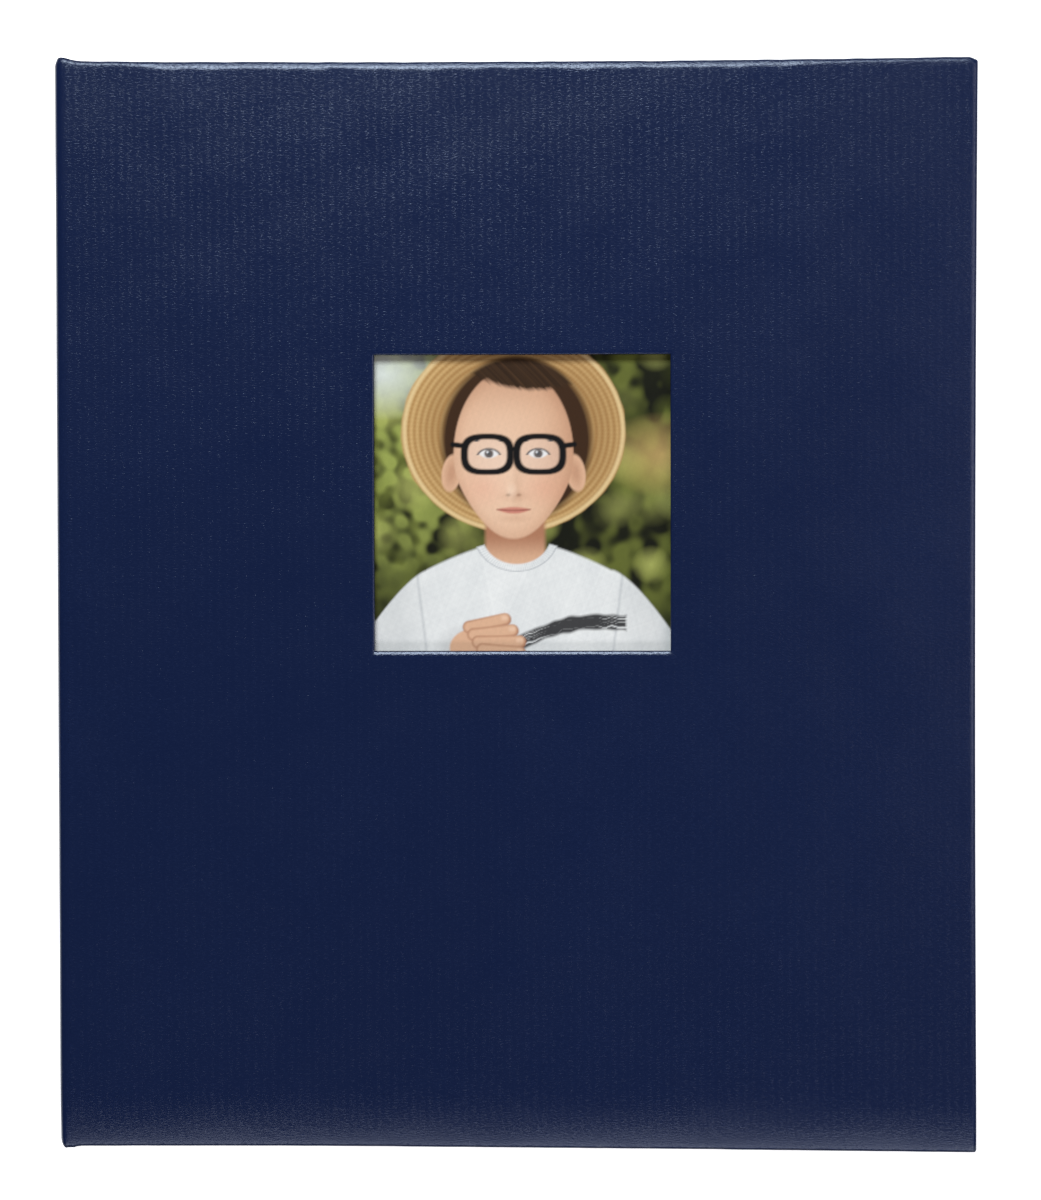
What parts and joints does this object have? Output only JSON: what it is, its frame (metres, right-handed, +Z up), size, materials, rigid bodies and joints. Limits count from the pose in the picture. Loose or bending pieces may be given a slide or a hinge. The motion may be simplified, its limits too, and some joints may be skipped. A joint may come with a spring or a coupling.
{
  "type": "scrapbook album",
  "caption": "Post-bound scrapbook album with a navy leatherette case, a square photo window in the front cover and clear pocket pages",
  "frame": {"origin": "under the middle of the closed album, on the outer face of the back cover", "axes": "+Z up through the closed album from the back cover to the front cover, +Y to the head of the pages, +X from the spine to the fore edge"},
  "size_m": [0.252, 0.298, 0.0296],
  "materials": {
    "leatherette": "embossed, satin",
    "lining_leatherette": "embossed, matte",
    "grey_board": "matte",
    "liner_paper": "matte",
    "liner_card": "matte",
    "print_paper": "semi-gloss",
    "page_card": "matte",
    "clear_film": "clear, gloss",
    "edge_strip": "matte",
    "post_metal": "bright"
  },
  "bodies": {
    "back_cover": {"back_cover_board": "grey_board", "back_cover_wrap": "leatherette", "back_cover_liner": "liner_paper", "back_hinge_cloth": "lining_leatherette"},
    "binding": {"spine_board": "grey_board", "spine_wrap": "leatherette", "spine_liner": "lining_leatherette", "front_binding_flap": "grey_board", "front_flap_sleeve": "lining_leatherette", "back_binding_flap": "grey_board", "back_flap_sleeve": "lining_leatherette", "post_barrels": "post_metal", "post_screws": "post_metal", "page_01_binding_edge": "edge_strip", "page_02_binding_edge": "edge_strip", "page_03_binding_edge": "edge_strip", "page_04_binding_edge": "edge_strip", "page_05_binding_edge": "edge_strip", "page_06_binding_edge": "edge_strip", "page_07_binding_edge": "edge_strip", "page_08_binding_edge": "edge_strip", "page_09_binding_edge": "edge_strip", "page_10_binding_edge": "edge_strip"},
    "front_cover": {"front_cover_board": "grey_board", "front_cover_wrap": "leatherette", "front_cover_liner": "liner_paper", "front_hinge_cloth": "lining_leatherette", "window_print": "print_paper", "print_pocket_panel": "liner_card"},
    "page_01": {"page_01_front_film": "clear_film", "page_01_back_film": "clear_film", "page_01_card": "page_card"},
    "page_02": {"page_02_front_film": "clear_film", "page_02_back_film": "clear_film", "page_02_card": "page_card"},
    "page_03": {"page_03_front_film": "clear_film", "page_03_back_film": "clear_film", "page_03_card": "page_card"},
    "page_04": {"page_04_front_film": "clear_film", "page_04_back_film": "clear_film", "page_04_card": "page_card"},
    "page_05": {"page_05_front_film": "clear_film", "page_05_back_film": "clear_film", "page_05_card": "page_card"},
    "page_06": {"page_06_front_film": "clear_film", "page_06_back_film": "clear_film", "page_06_card": "page_card"},
    "page_07": {"page_07_front_film": "clear_film", "page_07_back_film": "clear_film", "page_07_card": "page_card"},
    "page_08": {"page_08_front_film": "clear_film", "page_08_back_film": "clear_film", "page_08_card": "page_card"},
    "page_09": {"page_09_front_film": "clear_film", "page_09_back_film": "clear_film", "page_09_card": "page_card"},
    "page_10": {"page_10_front_film": "clear_film", "page_10_back_film": "clear_film", "page_10_card": "page_card"}
  },
  "joints": [
    {"name": "back_hinge", "type": "hinge", "parent": "back_cover", "child": "binding", "pos_m": [-0.1235, 0, 0.0019], "axis": [0, -1, 0], "range_deg": [0, 180]},
    {"name": "front_hinge", "type": "hinge", "parent": "binding", "child": "front_cover", "pos_m": [-0.1235, 0, 0.0277], "axis": [0, -1, 0], "range_deg": [0, 180]},
    {"name": "page_01_turn", "type": "hinge", "parent": "binding", "child": "page_01", "pos_m": [-0.0995, 0, 0.0279], "axis": [0, -1, 0], "range_deg": [0, 180]},
    {"name": "page_02_turn", "type": "hinge", "parent": "binding", "child": "page_02", "pos_m": [-0.0995, 0, 0.0279], "axis": [0, -1, 0], "range_deg": [0, 180]},
    {"name": "page_03_turn", "type": "hinge", "parent": "binding", "child": "page_03", "pos_m": [-0.0995, 0, 0.0279], "axis": [0, -1, 0], "range_deg": [0, 180]},
    {"name": "page_04_turn", "type": "hinge", "parent": "binding", "child": "page_04", "pos_m": [-0.0995, 0, 0.0279], "axis": [0, -1, 0], "range_deg": [0, 180]},
    {"name": "page_05_turn", "type": "hinge", "parent": "binding", "child": "page_05", "pos_m": [-0.0995, 0, 0.0279], "axis": [0, -1, 0], "range_deg": [0, 180]},
    {"name": "page_06_turn", "type": "hinge", "parent": "binding", "child": "page_06", "pos_m": [-0.0995, 0, 0.0017], "axis": [0, -1, 0], "range_deg": [-180, 0]},
    {"name": "page_07_turn", "type": "hinge", "parent": "binding", "child": "page_07", "pos_m": [-0.0995, 0, 0.0017], "axis": [0, -1, 0], "range_deg": [-180, 0]},
    {"name": "page_08_turn", "type": "hinge", "parent": "binding", "child": "page_08", "pos_m": [-0.0995, 0, 0.0017], "axis": [0, -1, 0], "range_deg": [-180, 0]},
    {"name": "page_09_turn", "type": "hinge", "parent": "binding", "child": "page_09", "pos_m": [-0.0995, 0, 0.0017], "axis": [0, -1, 0], "range_deg": [-180, 0]},
    {"name": "page_10_turn", "type": "hinge", "parent": "binding", "child": "page_10", "pos_m": [-0.0995, 0, 0.0017], "axis": [0, -1, 0], "range_deg": [-180, 0]}
  ],
  "couplings": [
    {"joint": "page_01_turn", "follows": "front_hinge", "ratio": 0.99},
    {"joint": "page_02_turn", "follows": "front_hinge", "ratio": 0.98},
    {"joint": "page_03_turn", "follows": "front_hinge", "ratio": 0.97},
    {"joint": "page_04_turn", "follows": "front_hinge", "ratio": 0.96},
    {"joint": "page_05_turn", "follows": "front_hinge", "ratio": 0.95},
    {"joint": "page_06_turn", "follows": "back_hinge", "ratio": -0.95},
    {"joint": "page_07_turn", "follows": "back_hinge", "ratio": -0.96},
    {"joint": "page_08_turn", "follows": "back_hinge", "ratio": -0.97},
    {"joint": "page_09_turn", "follows": "back_hinge", "ratio": -0.98},
    {"joint": "page_10_turn", "follows": "back_hinge", "ratio": -0.99}
  ]
}
